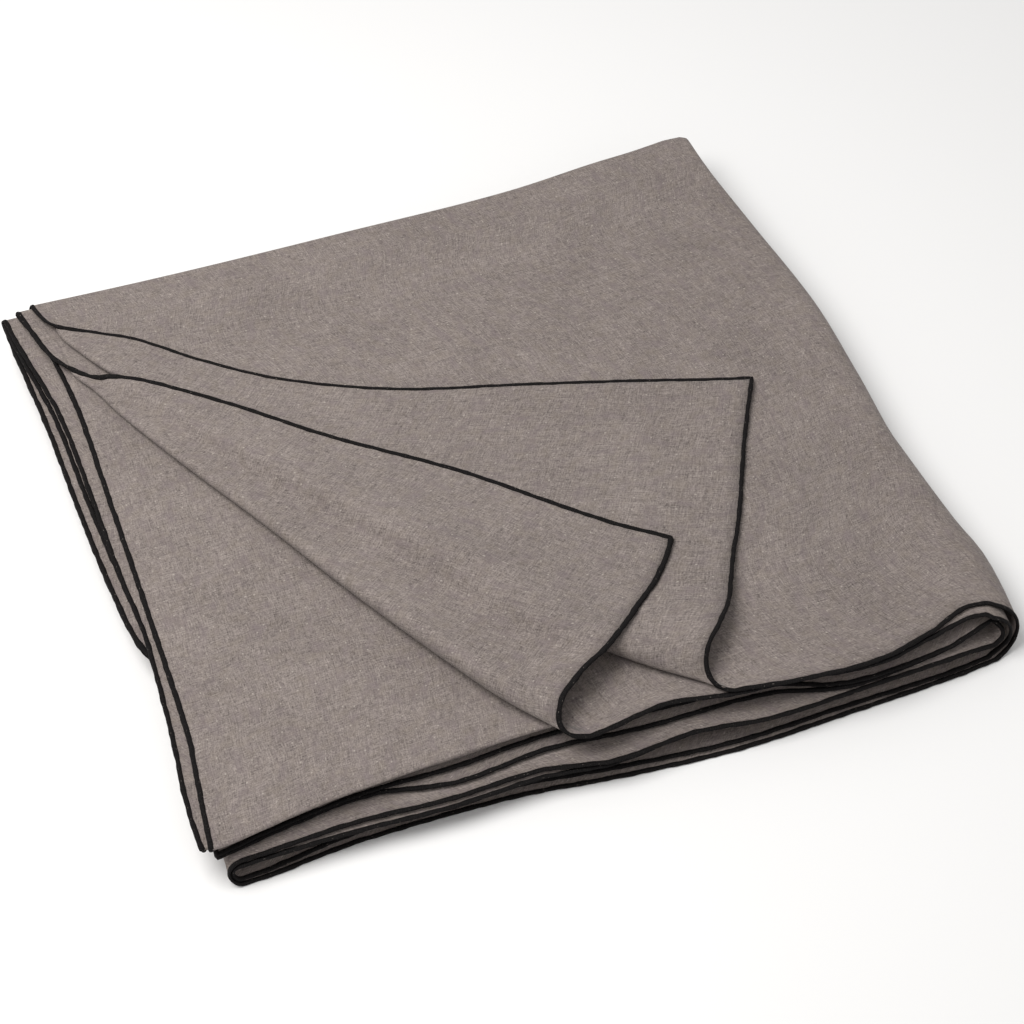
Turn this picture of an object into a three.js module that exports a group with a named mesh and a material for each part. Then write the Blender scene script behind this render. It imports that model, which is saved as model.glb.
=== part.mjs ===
import * as THREE from 'three';

// A nearly square linen tablecloth, folded in half twice from front to back and then twice from side
// to side, so that it lies in sixteen layers. Layer 1 is on top and layer 16 on the table. The front
// left corners of layers 1 and 2 are turned back, one over the other.
// X runs to the right along the front, Y to the back and Z up. Sizes are in millimetres.

const SHEET = 1.1;       // thickness of the cloth
const PITCH = 2.0;       // from the middle of one layer to the middle of the next
const LAYERS = 16;
const RIGHT = 440;       // outermost fold on the right, measured from the left end of the front
const BACK = 410;        // middle of the back, measured from the front
const ROUND = 1.0;       // how far a fold bulges out, for each millimetre of half its height
const SETTLE = 34;       // a turned corner sinks to the layer below it over about this length
const LOFT = { share: 0.06, lengthX: 95, shiftX: 0.6, lengthY: 120, shiftY: 0.4 };

// Where the second corner passes over the first: it starts to rise at this distance before the turn
// below it, over this length, both in turn heights, and keeps this room over it, in layers
const PASSING = { before: 3.4, length: 2, room: 1.3, softness: 1.5 };

// Steepest slant of the cloth's threads across a turn, and how much of a corner's width gets the
// narrow faces of the turn
const STEEPEST_SLANT = 1.2;
const TURN_WIDTH_SHARE = 0.4;
const LINE_STEP = 6;
const BLEND_START = 0.55; // share of the way back where plies start to share the columns of the turn

// Each ply has a depth: plies 0 and 1 end in the front hem, 3 and 2 are joined by a fold at the front,
// 0 and 3 by the outer fold at the back, and 2 and 1 by the inner fold there.
const OUTERMOST = 0;
const SECOND = 1;
const THIRD = 2;
const INNERMOST = 3;

// How far the tip of each side fold stands in from the outermost one, ply by ply
const SIDE_FOLDS = [
  { depth: 0, outer: 0.0, inner: 19.0, left: 0.0 },
  { depth: 1, outer: 5.0, inner: 16.7, left: 2.4 },
  { depth: 2, outer: 7.4, inner: 14.4, left: 4.8 },
  { depth: 3, outer: 9.8, inner: 12.1, left: 7.2 },
];

// Y of the front edges along the cloth: the outermost hem, the second hem and the fold between them
const FRONT = [
  { run: 'top', x: 0, hem: 4, second: 4, fold: 4 },
  { run: 'top', x: 50, hem: 2, second: 3, fold: 10 },
  { run: 'top', x: 90, hem: 1, second: 2, fold: 12 },
  { run: 'top', x: 165, hem: 0, second: 0, fold: 14 },
  { run: 'top', x: 200, hem: 0, second: 2, fold: 14 },
  { run: 'top', x: 235, hem: 1, second: 7, fold: 13 },
  { run: 'top', x: 270, hem: 1, second: 1, fold: 11 },
  { run: 'top', x: 305, hem: -4, second: -2, fold: 8 },
  { run: 'top', x: 350, hem: -6.5, second: -4, fold: 7 },
  { run: 'top', x: 385, hem: 0, second: 1, fold: 9 },
  { run: 'top', x: 415, hem: 5, second: 1, fold: 10 },
  { run: 'outerFold', x: RIGHT, hem: -2, second: -6, fold: 6 },
  { run: 'bottom', x: 395, hem: -14, second: -10, fold: 0 },
  { run: 'bottom', x: 330, hem: -14.5, second: -10, fold: 0 },
  { run: 'bottom', x: 268, hem: -14, second: -10.5, fold: 0 },
  { run: 'bottom', x: 202, hem: -7.5, second: -3, fold: 4 },
  { run: 'bottom', x: 150, hem: 0, second: 4, fold: 8 },
  { run: 'bottom', x: 64, hem: 3.4, second: 4.5, fold: 9 },
  { run: 'bottom', x: 10, hem: 0, second: 1, fold: 7 },
  { run: 'leftFold', x: 0, hem: 3, second: 4, fold: 8 },
  { run: 'second', x: 10, hem: 4, second: 5, fold: 9 },
  { run: 'second', x: 65, hem: 5, second: 6, fold: 11 },
  { run: 'second', x: 113, hem: 1, second: 2, fold: 8 },
  { run: 'second', x: 164, hem: 1, second: 2, fold: 6 },
  { run: 'second', x: 200, hem: -7, second: -5, fold: 3 },
  { run: 'second', x: 248, hem: -5, second: -3, fold: 3 },
  { run: 'second', x: 286, hem: -11, second: -9, fold: 0 },
  { run: 'second', x: 350, hem: -11, second: -9, fold: 0 },
  { run: 'second', x: 400, hem: -9, second: -8, fold: 1 },
  { run: 'innerFold', x: RIGHT, hem: -4, second: -3, fold: 5 },
  { run: 'third', x: 390, hem: 0, second: 3, fold: 6 },
  { run: 'third', x: 333, hem: -8, second: 1, fold: 6 },
  { run: 'third', x: 292, hem: 3, second: 9, fold: 9 },
  { run: 'third', x: 220, hem: 6, second: 14, fold: 13 },
  { run: 'third', x: 170, hem: 11, second: 18, fold: 15 },
  { run: 'third', x: 120, hem: 8, second: 16, fold: 13 },
  { run: 'third', x: 75, hem: 17, second: 17.5, fold: 14 },
  { run: 'third', x: 25, hem: 13, second: 13.5, fold: 10 },
  { run: 'third', x: -5, hem: 8.5, second: 9, fold: 6 },
];

// Y of the outer fold at the back
const REAR = [
  { run: 'top', x: 0, y: 417 },
  { run: 'top', x: 75, y: 412 },
  { run: 'top', x: 190, y: 410 },
  { run: 'top', x: 300, y: 410 },
  { run: 'top', x: 380, y: 417 },
  { run: 'top', x: 420, y: 419 },
  { run: 'outerFold', x: RIGHT, y: 415 },
  { run: 'bottom', x: 400, y: 412 },
  { run: 'bottom', x: 220, y: 408 },
  { run: 'bottom', x: 0, y: 414 },
  { run: 'leftFold', x: 0, y: 414 },
  { run: 'second', x: 200, y: 406 },
  { run: 'innerFold', x: RIGHT, y: 411 },
  { run: 'third', x: 220, y: 411 },
  { run: 'third', x: 0, y: 420 },
];

// X of the free hems and of the fold at the left, and how far the right side swells out, at shares of
// the way from front to back
const SIDES = [
  { share: 0, third: -9.0, innermost: -13.0, lower: 1.0, upper: 0.0, fold: -3.0, swell: -1.0 },
  { share: 0.12, third: -3.0, innermost: -10.5, lower: 0.0, upper: -1.5, fold: -0.8, swell: 3.0 },
  { share: 0.35, third: 1.6, innermost: -3.0, lower: -7.2, upper: -4.2, fold: 0.9, swell: -2.8 },
  { share: 0.6, third: 3.4, innermost: -5.0, lower: -13.4, upper: -10.8, fold: -2.8, swell: 3.8 },
  { share: 0.85, third: 2.8, innermost: -9.6, lower: -15.8, upper: -11.6, fold: -7.0, swell: -0.5 },
  { share: 1, third: -8.7, innermost: -16.2, lower: -18.2, upper: -16.8, fold: -9.6, swell: -4.5 },
];

// The turned corners, from the front hem to the place where the turn starts. Each row gives a line
// across the ply: where the turn crosses it, where its hem comes to lie, the hem's height over the
// ply, the radius of the turn and how far round the cloth goes there, in half turns.
const CORNERS = [
  [
    { y: 2, turnX: 261, hemX: 374, hemY: 204, lift: 2.6, radius: 8.0, round: 1 },
    { y: 30, turnX: 236, hemX: 349, hemY: 212, lift: 2.2, radius: 7.4, round: 1 },
    { y: 70, turnX: 204, hemX: 309, hemY: 226, lift: 2.2, radius: 6.6, round: 1 },
    { y: 130, turnX: 165, hemX: 249, hemY: 246, lift: 2.2, radius: 5.5, round: 1 },
    { y: 200, turnX: 121, hemX: 180, hemY: 269, lift: 2.2, radius: 4.4, round: 1 },
    { y: 260, turnX: 81, hemX: 121, hemY: 301, lift: 2.2, radius: 3.3, round: 1 },
    { y: 310, turnX: 50, hemX: 80, hemY: 335, lift: 2.2, radius: 2.4, round: 1 },
    { y: 345, turnX: 28, hemX: 51, hemY: 364, lift: 2.4, radius: 1.8, round: 1 },
    { y: 368, turnX: 16, hemX: 31, hemY: 377, lift: 3.0, radius: 1.6, round: 0.97 },
    { y: 385, turnX: 9, hemX: 12, hemY: 387, lift: 5.0, radius: 1.6, round: 0.6 },
    { y: 398, turnX: 9, hemX: 4, hemY: 399, lift: 2.0, radius: 1.6, round: 0.2 },
    { y: 414, turnX: 9, hemX: 0, hemY: 414, lift: 0.0, radius: 1.6, round: 0 },
  ],
  [
    { y: 5, turnX: 177, hemX: 280, hemY: 103, lift: 4.6, radius: 8.0, round: 1 },
    { y: 30, turnX: 161, hemX: 263, hemY: 118, lift: 2.2, radius: 7.4, round: 1 },
    { y: 70, turnX: 139, hemX: 233, hemY: 147, lift: 2.2, radius: 6.4, round: 1 },
    { y: 130, turnX: 109, hemX: 189, hemY: 192, lift: 2.2, radius: 5.2, round: 1 },
    { y: 200, turnX: 76, hemX: 131, hemY: 242, lift: 2.2, radius: 3.8, round: 1 },
    { y: 260, turnX: 47, hemX: 87, hemY: 287, lift: 2.2, radius: 2.8, round: 1 },
    { y: 310, turnX: 25, hemX: 45, hemY: 325, lift: 2.2, radius: 2.0, round: 1 },
    { y: 335, turnX: 15, hemX: 24, hemY: 339, lift: 2.6, radius: 1.6, round: 0.97 },
    { y: 352, turnX: 8, hemX: 10, hemY: 353, lift: 3.4, radius: 1.7, round: 0.55 },
    { y: 372, turnX: 7, hemX: 0, hemY: 372, lift: 1.2, radius: 1.8, round: 0.25 },
    { y: 414, turnX: 2, hemX: -9, hemY: 414, lift: 0.0, radius: 1.6, round: 0 },
  ],
];

// Numbers of faces across each stretch of the cloth
const FLAP_FACES = 5;
const TURN_FACES = 6;
const TURNED = FLAP_FACES + TURN_FACES;
const RUNS = [
  { name: 'top', faces: TURNED + 8 },
  { name: 'outerFold', faces: 7 },
  { name: 'bottom', faces: 7 },
  { name: 'leftFold', faces: 5 },
  { name: 'second', faces: 6 },
  { name: 'innerFold', faces: 5 },
  { name: 'third', faces: 7 },
];
const TURNED_SHARES = [0, 0.07, 0.15, 0.25, 0.35, 0.45, 0.55, 0.65, 0.74, 0.81, 0.86, 0.9, 0.94, 0.97, 1];
const PLAIN_SHARES = SIDES.map((row) => row.share);
const ROUND_FACES = 4;

const mix = (a, b, share) => a + (b - a) * share;

const clamp = (value, low, high) => Math.min(high, Math.max(low, value));

function ease(value) {
  const share = clamp(value, 0, 1);
  return share * share * (3 - 2 * share);
}

// The larger of two heights, with a soft change from one to the other
function softMax(a, b, softness) {
  return (a + b + Math.hypot(a - b, softness)) / 2;
}

// A smooth curve through one column of a table, whose key column rises from row to row
function follow(rows, key, column, at) {
  const last = rows.length - 1;
  if (at <= rows[0][key]) {
    return rows[0][column];
  }
  if (at >= rows[last][key]) {
    return rows[last][column];
  }
  const next = rows.findIndex((row) => row[key] > at);
  const slope = (index) => {
    const before = rows[Math.max(index - 1, 0)];
    const after = rows[Math.min(index + 1, last)];
    return (after[column] - before[column]) / (after[key] - before[key]);
  };
  const from = rows[next - 1];
  const to = rows[next];
  const span = to[key] - from[key];
  const t = (at - from[key]) / span;
  const bend = t * (1 - t) * span;
  return mix(from[column], to[column], ease(t))
    + bend * ((1 - t) * slope(next - 1) - t * slope(next));
}

// The same with straight pieces, so that plies with few rows and with many lie side by side
function readSides(column, share) {
  const next = clamp(SIDES.findIndex((row) => row.share > share), 1, SIDES.length - 1);
  const at = share >= 1 ? SIDES.length - 1 : next;
  const [from, to] = [SIDES[at - 1], SIDES[at]];
  return mix(from[column], to[column], (share - from.share) / (to.share - from.share));
}

// Distance along the cloth's width as a number that grows by one for each run or fold
function along(run, x, share) {
  const index = RUNS.findIndex((entry) => entry.name === run);
  if (run.endsWith('Fold')) {
    return index + share;
  }
  const toRight = run === 'top' || run === 'second';
  return index + (toRight ? x / RIGHT : 1 - x / RIGHT);
}

const withPlace = (rows) => rows.map((row) => ({ ...row, place: along(row.run, row.x, 0.5) }));
const front = withPlace(FRONT);
const rear = withPlace(REAR);

function frontY(place, depth) {
  if (depth >= 1.5) {
    return follow(front, 'place', 'fold', place) + ROUND * PITCH / 2;
  }
  return follow(front, 'place', depth < 0.5 ? 'hem' : 'second', place);
}

const rearY = (place) => follow(rear, 'place', 'y', place) - ROUND * PITCH * 1.5;

const layerHeight = (number) => SHEET / 2 + PITCH * (LAYERS - number);

function runHeight(run, depth) {
  switch (run) {
    case 'top': return layerHeight(1 + depth);
    case 'bottom': return layerHeight(LAYERS - depth);
    case 'second': return layerHeight(LAYERS / 2 + 1 + depth);
    default: return layerHeight(LAYERS / 2 - depth);
  }
}

// The three side folds: the runs that they join, the way that they face and their tips
function sideFold(name, depth, share) {
  const swell = readSides('swell', share);
  const inset = (column) => follow(SIDE_FOLDS, 'depth', column, depth);
  const folds = {
    outerFold: { from: 'top', to: 'bottom', way: 1, tip: RIGHT + swell - inset('outer') },
    leftFold: { from: 'bottom', to: 'second', way: -1, tip: readSides('fold', share) + inset('left') },
    innerFold: { from: 'second', to: 'third', way: 1, tip: RIGHT + swell - inset('inner') },
  };
  const fold = folds[name];
  fold.top = runHeight(fold.from, depth);
  fold.end = runHeight(fold.to, depth);
  fold.reach = ROUND * Math.abs(fold.top - fold.end) / 2;
  fold.start = fold.tip - fold.way * fold.reach;
  return fold;
}

function leftHem(run, depth, share) {
  if (run === 'top') {
    return mix(readSides('third', share), readSides('innermost', share), clamp(depth - THIRD, 0, 1));
  }
  return mix(readSides('lower', share), readSides('upper', share), clamp(depth - SECOND, 0, 2) / 2);
}

// Where a straight run starts and ends, at a given ply and share of the way to the back
function runEnds(run, depth, share) {
  const foldStart = (name) => sideFold(name, depth, share).start;
  switch (run) {
    case 'top': return [leftHem(run, depth, share), foldStart('outerFold')];
    case 'bottom': return [foldStart('outerFold'), foldStart('leftFold')];
    case 'second': return [foldStart('leftFold'), foldStart('innerFold')];
    default: return [foldStart('innerFold'), leftHem(run, depth, share)];
  }
}

// One line across a turned corner: its turn, its hem and the two directions beside the turn
function cornerLine(ply, y) {
  const read = (column, at = y) => follow(CORNERS[ply], 'y', column, at);
  const sideways = read('turnX', y - LINE_STEP) - read('turnX', y + LINE_STEP);
  const line = new THREE.Vector2(sideways, -2 * LINE_STEP);
  line.normalize();
  const across = new THREE.Vector2(-line.y, line.x);
  const turn = new THREE.Vector2(read('turnX'), y);
  const hem = new THREE.Vector2(read('hemX'), read('hemY'));
  const toHem = hem.clone().sub(turn);
  const slant = (value) => clamp(value, -STEEPEST_SLANT, STEEPEST_SLANT);
  const slantOut = slant(line.x / across.x);
  const slantBack = slant(toHem.dot(line) / Math.max(toHem.dot(across), 1));
  const angle = Math.PI * clamp(read('round'), 0, 1);
  return {
    line, across, turn, hem, slantOut, slantBack, angle,
    radius: read('radius'),
    lift: read('lift'),
  };
}

// Plan place and height over the ply of a point in the turn, at an angle from the flat cloth
function turnPoint(corner, angle) {
  const { line, across, turn, slantOut, slantBack, radius } = corner;
  const quarter = Math.PI / 2;
  const sideways = radius * (angle < quarter ? slantOut * (quarter - angle) : slantBack * (angle - quarter));
  const inward = corner.angle < quarter ? Math.sin(corner.angle) - Math.sin(angle) : 1 - Math.sin(angle);
  const scale = corner.angle < quarter ? Math.sin(corner.angle) : 1;
  const place = turn.clone()
    .addScaledVector(across, radius * inward)
    .addScaledVector(line, sideways * scale);
  return { place, height: radius * (1 - Math.cos(angle)) };
}

// A point on the turned part of a corner. Column 0 is the hem, and the last column starts the turn.
function cornerPoint(corner, column) {
  const arc = corner.radius * corner.angle;
  const arcEnd = turnPoint(corner, corner.angle);
  const length = arcEnd.place.distanceTo(corner.hem);
  const whole = arc + length;
  const turnPart = Math.max(arc, TURN_WIDTH_SHARE * whole);
  const fromTurn = TURNED - column;
  const distance = fromTurn <= TURN_FACES
    ? turnPart * fromTurn / TURN_FACES
    : mix(turnPart, whole, (fromTurn - TURN_FACES) / FLAP_FACES);
  if (distance < arc) {
    return turnPoint(corner, distance / corner.radius);
  }
  const share = (distance - arc) / length;
  const sunk = (1 - Math.exp(-(distance - arc) / SETTLE)) / (1 - Math.exp(-length / SETTLE));
  return {
    place: arcEnd.place.clone().lerp(corner.hem, share),
    height: mix(arcEnd.height, corner.lift, sunk),
  };
}

// Height that the second corner needs to pass over the turn and the flap of the first
function heightOverFirst(x, y) {
  const first = cornerLine(OUTERMOST, y);
  const distance = (x - first.turn.x) * first.across.x;
  const foot = cornerLine(OUTERMOST, clamp(y - distance * first.across.y, 0, BACK));
  const clear = foot.radius + PITCH;
  const rise = ease(((distance - foot.radius) / clear + PASSING.before) / PASSING.length);
  const past = Math.max(distance - foot.radius, 0);
  const flap = mix(2 * foot.radius, PITCH, 1 - Math.exp(-past / SETTLE));
  const under = runHeight('top', OUTERMOST) + Math.max(flap, PITCH) + PASSING.room * PITCH;
  return mix(runHeight('top', SECOND) + PITCH, under, rise);
}

// The end of the turn on the outer or the inner fold at the back
function rearCorner(row) {
  const isOuter = row.crest === 'rearOuter' || row.depth >= 2.5;
  return CORNERS[isOuter ? OUTERMOST : SECOND].at(-1);
}

// X where the turned columns end on a ply without a turned corner
function turnColumnX(row, start, end) {
  const plain = mix(start, end, TURNED / RUNS[0].faces);
  return mix(plain, rearCorner(row).turnX, ease((row.share - BLEND_START) / (1 - BLEND_START)));
}

function topRunPoint(row, column) {
  const isTurned = row.crest === undefined && row.depth < 1.5;
  const [start, end] = runEnds('top', row.depth, row.share);
  if (!isTurned) {
    const isRearFold = row.crest && row.crest !== 'front';
    const flatStart = isRearFold ? mix(rearCorner(row).hemX, start, row.toPlain) : start;
    const turnX = turnColumnX(row, start, end);
    const x = column <= TURNED
      ? mix(flatStart, turnX, column / TURNED)
      : mix(turnX, end, (column - TURNED) / (RUNS[0].faces - TURNED));
    return edgePoint('top', row, x);
  }
  const corner = cornerLine(row.depth, mix(CORNERS[row.depth][0].y, rearY(along('top', 0)), row.share));
  const ply = runHeight('top', row.depth);
  if (column < TURNED) {
    const { place, height } = cornerPoint(corner, column);
    let z = ply + height;
    if (row.depth === SECOND) {
      const over = heightOverFirst(place.x, place.y);
      const passed = ease((TURNED - column - TURN_FACES / 2) / (TURN_FACES / 2));
      z = mix(z, softMax(z, over, PASSING.softness), passed * clamp(2 * corner.angle / Math.PI - 1, 0, 1));
    }
    return new THREE.Vector3(place.x, place.y, z);
  }
  const startOfTurn = turnPoint(corner, 0).place;
  const share = (column - TURNED) / (RUNS[0].faces - TURNED);
  const point = edgePoint('top', row, mix(startOfTurn.x, end, share));
  const plainStart = edgePoint('top', row, startOfTurn.x);
  point.y += (startOfTurn.y - plainStart.y) * (1 - share) ** 4;
  return point;
}

// A point at a given X of a straight run, with its Y from the front and rear edges
function edgePoint(run, row, x) {
  const place = along(run, x);
  const y = mix(frontY(place, row.depth), rearY(place), row.share) + row.out;
  return new THREE.Vector3(x, y, runHeight(run, row.depth));
}

function straightPoint(run, row, share) {
  const [start, end] = runEnds(run, row.depth, row.share);
  return edgePoint(run, row, mix(start, end, share));
}

function foldPoint(run, row, share) {
  const fold = sideFold(run, row.depth, row.share);
  const place = along(run, 0, share);
  const y = mix(frontY(place, row.depth), rearY(place), row.share) + row.out;
  const x = fold.start + fold.way * fold.reach * Math.sin(Math.PI * share);
  const z = mix(fold.top, fold.end, (1 - Math.cos(Math.PI * share)) / 2);
  return new THREE.Vector3(x, y, z);
}

// The plies from the outermost front hem to the second one, as rows with a depth, a share of the way
// from front to back, and how far a fold stands out there
function sheetRows() {
  const rows = [];
  const addPly = (depth, shares, backwards) => {
    const list = backwards ? [...shares].reverse() : shares;
    list.forEach((share) => rows.push({ depth, share, out: 0 }));
  };
  const addFold = (crest, from, to, way) => {
    const reach = ROUND * PITCH * Math.abs(from - to) / 2;
    for (let step = 1; step < ROUND_FACES; step += 1) {
      const turn = step / ROUND_FACES;
      rows.push({
        crest,
        depth: mix(from, to, (1 - Math.cos(Math.PI * turn)) / 2),
        share: way > 0 ? 1 : 0,
        out: way * reach * Math.sin(Math.PI * turn),
        toPlain: from < to ? turn : 1 - turn,
      });
    }
  };
  addPly(OUTERMOST, TURNED_SHARES, false);
  addFold('rearOuter', OUTERMOST, INNERMOST, 1);
  addPly(INNERMOST, PLAIN_SHARES, true);
  addFold('front', INNERMOST, THIRD, -1);
  addPly(THIRD, PLAIN_SHARES, false);
  addFold('rearInner', THIRD, SECOND, 1);
  addPly(SECOND, TURNED_SHARES, true);
  return rows;
}

function sheetColumns() {
  const columns = [];
  RUNS.forEach(({ name, faces }, index) => {
    const first = index === 0 ? 0 : 1;
    for (let step = first; step <= faces; step += 1) {
      columns.push({ run: name, step, share: step / faces });
    }
  });
  return columns;
}

// The stack is a little thinner or loftier from place to place, and always flat on the table
function settleHeight(point) {
  const waveX = Math.sin(point.x / LOFT.lengthX + LOFT.shiftX);
  const waveY = Math.cos(point.y / LOFT.lengthY - LOFT.shiftY);
  const middle = SHEET / 2;
  point.z = middle + (point.z - middle) * (1 + LOFT.share * waveX * waveY);
  return point;
}

function sheetPoint(column, row) {
  let point;
  if (column.run === 'top') {
    point = topRunPoint(row, column.step);
  } else if (column.run.endsWith('Fold')) {
    point = foldPoint(column.run, row, column.share);
  } else {
    point = straightPoint(column.run, row, column.share);
  }
  return settleHeight(point);
}

// Gives a grid of middle points its thickness and closes it round the hems
function thicken(grid) {
  const across = grid.length;
  const deep = grid[0].length;
  const at = (i, j) => grid[clamp(i, 0, across - 1)][clamp(j, 0, deep - 1)];
  const positions = [];
  for (const side of [1, -1]) {
    for (let i = 0; i < across; i += 1) {
      for (let j = 0; j < deep; j += 1) {
        const alongWidth = at(i + 1, j).clone().sub(at(i - 1, j));
        const alongDepth = at(i, j + 1).clone().sub(at(i, j - 1));
        const normal = alongWidth.cross(alongDepth).normalize();
        positions.push(...at(i, j).clone().addScaledVector(normal, side * SHEET / 2).toArray());
      }
    }
  }
  const count = across * deep;
  const index = [];
  const quad = (a, b, c, d) => index.push(a, b, c, a, c, d);
  const outer = (i, j) => i * deep + j;
  const inner = (i, j) => count + outer(i, j);
  for (let i = 0; i < across - 1; i += 1) {
    for (let j = 0; j < deep - 1; j += 1) {
      quad(outer(i, j), outer(i + 1, j), outer(i + 1, j + 1), outer(i, j + 1));
      quad(inner(i, j), inner(i, j + 1), inner(i + 1, j + 1), inner(i + 1, j));
    }
    quad(outer(i, 0), inner(i, 0), inner(i + 1, 0), outer(i + 1, 0));
    quad(outer(i, deep - 1), outer(i + 1, deep - 1), inner(i + 1, deep - 1), inner(i, deep - 1));
  }
  for (let j = 0; j < deep - 1; j += 1) {
    quad(outer(0, j), outer(0, j + 1), inner(0, j + 1), inner(0, j));
    quad(outer(across - 1, j), inner(across - 1, j), inner(across - 1, j + 1), outer(across - 1, j + 1));
  }
  const geometry = new THREE.BufferGeometry();
  geometry.setAttribute('position', new THREE.Float32BufferAttribute(positions, 3));
  geometry.setIndex(index);
  geometry.computeVertexNormals();
  return geometry;
}

function cloth() {
  const rows = sheetRows();
  const grid = sheetColumns().map((column) => rows.map((row) => sheetPoint(column, row)));
  const geometry = thicken(grid);
  const material = new THREE.MeshStandardMaterial({ color: 0x8f8680, roughness: 0.95, metalness: 0 });
  const mesh = new THREE.Mesh(geometry, material);
  mesh.name = 'cloth';
  geometry.computeBoundingBox();
  const { min, max } = geometry.boundingBox;
  mesh.position.set(-(min.x + max.x) / 2, -(min.y + max.y) / 2, -min.z);
  return mesh;
}

const tablecloth = new THREE.Group();
tablecloth.add(cloth());

export default tablecloth;
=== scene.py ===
# %% [markdown]
# # A folded linen tablecloth
#
# One nearly square sheet of heathered linen, edged all round with black overlock thread, is folded
# in half twice from front to back and twice from side to side. It lies in sixteen layers, and the
# front left corners of the two upper layers are turned back, one over the other.
#
# The folded shape is worked out in mesh code, because a simulation can't be told to crease a sheet
# sixteen layers deep. The weave, the slubs and the thread of the edge are materials on the cloth's
# own UV map, so that they follow every fold.

import math

import bpy
import numpy as np
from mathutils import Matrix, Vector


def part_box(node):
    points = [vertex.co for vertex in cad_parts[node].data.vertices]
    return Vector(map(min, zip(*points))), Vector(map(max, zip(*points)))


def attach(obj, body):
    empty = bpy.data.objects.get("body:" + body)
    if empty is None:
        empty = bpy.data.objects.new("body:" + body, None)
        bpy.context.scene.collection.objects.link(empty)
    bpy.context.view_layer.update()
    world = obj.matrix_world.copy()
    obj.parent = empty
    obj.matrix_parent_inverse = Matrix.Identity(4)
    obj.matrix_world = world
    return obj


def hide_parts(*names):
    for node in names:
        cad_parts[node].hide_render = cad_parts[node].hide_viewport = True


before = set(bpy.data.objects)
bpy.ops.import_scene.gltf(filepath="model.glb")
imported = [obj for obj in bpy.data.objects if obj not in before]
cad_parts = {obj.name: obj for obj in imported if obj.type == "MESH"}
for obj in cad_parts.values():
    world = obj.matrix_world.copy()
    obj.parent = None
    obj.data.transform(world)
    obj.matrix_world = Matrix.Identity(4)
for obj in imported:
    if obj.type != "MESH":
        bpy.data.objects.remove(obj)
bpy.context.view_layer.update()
cloth_low, cloth_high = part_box("cloth")
print("solid cloth, in metres:", [round(high - low, 4) for low, high in zip(cloth_low, cloth_high)])

# %% [markdown]
# ## The folds, as short tables
#
# Sizes are in millimetres from the left end of the front, X to the right, Y to the back and Z up.
# A run is a stretch of the cloth's width that lies flat: the top run, then the bottom one, then two
# between them, joined by folds at the right, the left and the right again. In each run there are
# four plies, numbered by depth: plies 0 and 1 end in the front hem, plies 2 and 3 are joined by a
# fold there.

# %% Sizes of the folded cloth
MM = 0.001
LAYERS = 16
PITCH = 2.0        # from the middle of one layer to the middle of the next
LOWEST = 0.7       # height of the middle of the lowest layer
RIGHT = 440.0      # outermost fold on the right
BACK = 410.0       # middle of the back
LINEN = 0.6        # thickness of the cloth
OUTERMOST, SECOND, THIRD, INNERMOST = 0, 1, 2, 3
PART_MIDDLE = (212.45, 202.95)   # middle of the part in the measure that the tables use

# Runs and folds along the width, with the number of faces across each
FLAP_FACES = 30
TURN_FACES = 22
TURNED = FLAP_FACES + TURN_FACES
RUNS = [
    ("top", TURNED + 46),
    ("outer_fold", 16),
    ("bottom", 28),
    ("left_fold", 10),
    ("second", 26),
    ("inner_fold", 12),
    ("third", 34),
]
RUN_NAMES = [name for name, faces in RUNS]


def table(columns, rows):
    """Reads rows under named columns as one list for each column."""
    return dict(zip(columns.split(), zip(*rows)))


# %% How far the side folds stand in, ply by ply
SIDE_FOLDS = table("depth outer inner left", [
    (0, 0.0, 10.1, 0.0),
    (1, 5.6, 9.5, 2.0),
    (2, 7.1, 8.4, 3.5),
    (3, 8.4, 7.3, 5.0),
])

# %% Y of the front edges: the outermost hem, the second hem and the fold between them
FRONT = table("run x hem second fold", [
    ("top", 0, 4, 4, 8),
    ("top", 50, 2, 3, 14),
    ("top", 90, 1, 2, 16),
    ("top", 165, 0, 0, 17.5),
    ("top", 200, 0, 2, 16),
    ("top", 235, 1, 7, 14),
    ("top", 270, 1, 1, 11),
    ("top", 305, -4, -2, 8),
    ("top", 350, -6.4, -7.3, 7),
    ("top", 385, 1.3, -0.7, 9),
    ("top", 410, 9.3, 3.3, 14),
    ("top", 430, 5.5, -1.4, 14),
    ("outer_fold", RIGHT, -3, -5.6, 14),
    ("bottom", 430, -10, -7.4, 8),
    ("bottom", 395, -12.5, -10.4, 2),
    ("bottom", 330, -13.7, -10.4, 0),
    ("bottom", 268, -14, -10.5, 0),
    ("bottom", 202, -7.5, -3, 4),
    ("bottom", 150, 0, 5, 9),
    ("bottom", 64, 3.4, 7.5, 11),
    ("bottom", 10, 0, 2, 7),
    ("left_fold", 0, 3, 3, 8),
    ("second", 10, 4, 2.5, 9),
    ("second", 65, 5, 1, 11),
    ("second", 113, 1, -2.5, 8),
    ("second", 164, 1, -2, 6),
    ("second", 200, -7, -7, 3),
    ("second", 248, -5, -3, 3),
    ("second", 286, -11, -9, 0),
    ("second", 350, -10.3, -9.2, 0),
    ("second", 400, -8.9, -7.7, 3),
    ("second", 430, -6.7, -6.1, 8),
    ("inner_fold", RIGHT, -5, -4.6, 12),
    ("third", 430, 2.3, 1.5, 12),
    ("third", 390, -4.1, -4.9, 8),
    ("third", 333, -8.1, -6.9, 6),
    ("third", 292, 3, 7, 11),
    ("third", 220, 6, 14, 17),
    ("third", 170, 11, 18, 21),
    ("third", 120, 8, 16, 19),
    ("third", 75, 17, 17.5, 20.5),
    ("third", 25, 13, 13.5, 16.5),
    ("third", -5, 8.5, 9, 12),
])

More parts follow.
